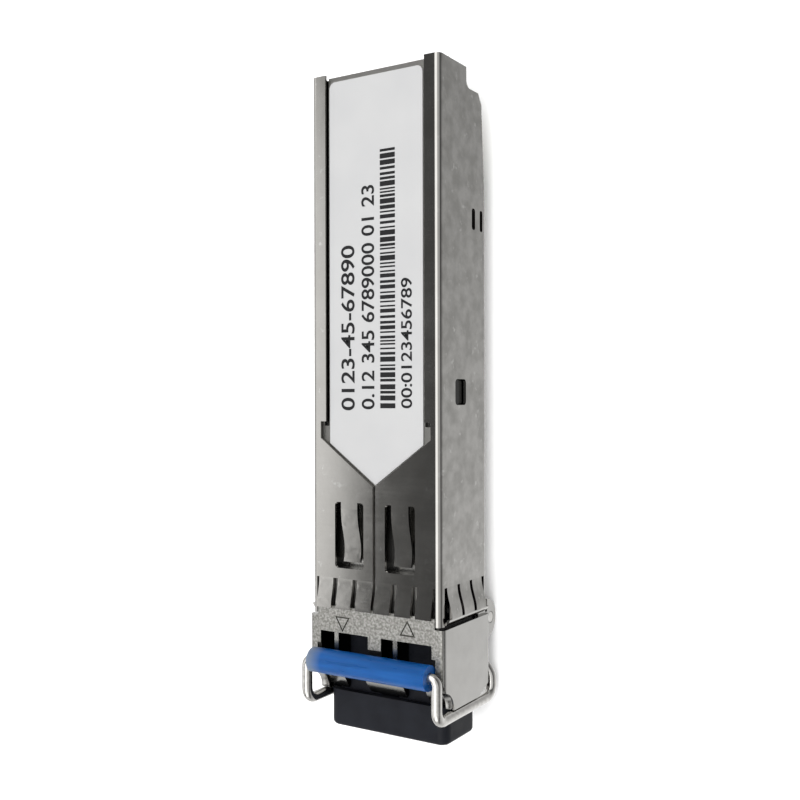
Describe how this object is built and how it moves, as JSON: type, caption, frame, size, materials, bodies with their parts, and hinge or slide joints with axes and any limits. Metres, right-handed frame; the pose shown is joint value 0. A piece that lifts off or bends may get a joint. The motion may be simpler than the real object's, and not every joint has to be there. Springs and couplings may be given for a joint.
{
  "type": "optical transceiver module",
  "caption": "Small pluggable optical transceiver: folded metal cover with contact fingers, duplex fibre port with dust plug, wire bail with blue sleeve, and a card-edge rear.",
  "frame": {"origin": "under the middle of the whole object, at the lowest point of the bail ears", "axes": "+Y from the fibre port to the card edge, +Z towards the label, +X to the transmit side"},
  "size_m": [0.0144, 0.0592, 0.0121],
  "materials": {
    "casting": "nickel-plated zinc casting, gritty on the label side",
    "cover_sheet": "bright nickel plate on folded sheet",
    "label_film": "satin white film",
    "wire": "bright spring wire",
    "blue_sleeve": "slightly translucent soft tube",
    "black_plug": "fine moulded surface",
    "clamp_metal": "satin",
    "machined_steel": "turned",
    "gold_plate": "gold plate",
    "zirconia": "polished ceramic",
    "solder_mask": "green solder mask",
    "chip_black": "moulded package",
    "ceramic_tan": "sintered ceramic",
    "grey_silicone": "soft gap filler"
  },
  "bodies": {
    "module": {"base_housing": "casting", "cover_shell": "cover_sheet", "label": "label_film", "latch_pin": "wire", "latch_spring": "wire", "optics_clamp": "clamp_metal", "tosa_ferrule_sleeve": "zirconia", "tosa_barrel": "machined_steel", "tosa_can": "gold_plate", "tosa_leads": "gold_plate", "rosa_ferrule_sleeve": "zirconia", "rosa_barrel": "machined_steel", "rosa_can": "gold_plate", "rosa_leads": "gold_plate", "circuit_board": "solder_mask", "card_contacts_top": "gold_plate", "card_contacts_bottom": "gold_plate", "laser_driver_chip": "chip_black", "receiver_amp_chip": "chip_black", "controller_chip": "chip_black", "board_capacitors": "ceramic_tan", "board_resistors": "chip_black", "thermal_pad": "grey_silicone"},
    "bail": {"bail_wire": "wire", "bail_sleeve": "blue_sleeve"},
    "latch": {"latch_lever": "casting"},
    "plug": {"dust_plug": "black_plug"}
  },
  "joints": [
    {"name": "bail_swing", "type": "hinge", "parent": "module", "child": "bail", "pos_m": [0, -0.01965, 0.001], "axis": [1, 0, 0], "range_deg": [0, 90]},
    {"name": "latch_lever_tilt", "type": "hinge", "parent": "module", "child": "latch", "pos_m": [0, -0.0198, 0.00225], "axis": [1, 0, 0], "range_deg": [0, 5.4]},
    {"name": "dust_plug_slide", "type": "slide", "parent": "module", "child": "plug", "axis": [0, -1, 0], "range_m": [0, 0.045]}
  ],
  "couplings": [
    {"joint": "latch_lever_tilt", "follows": "bail_swing", "ratio": 0.0599},
    {"joint": "dust_plug_slide", "follows": "bail_swing", "m_per_rad": 0.028647}
  ]
}
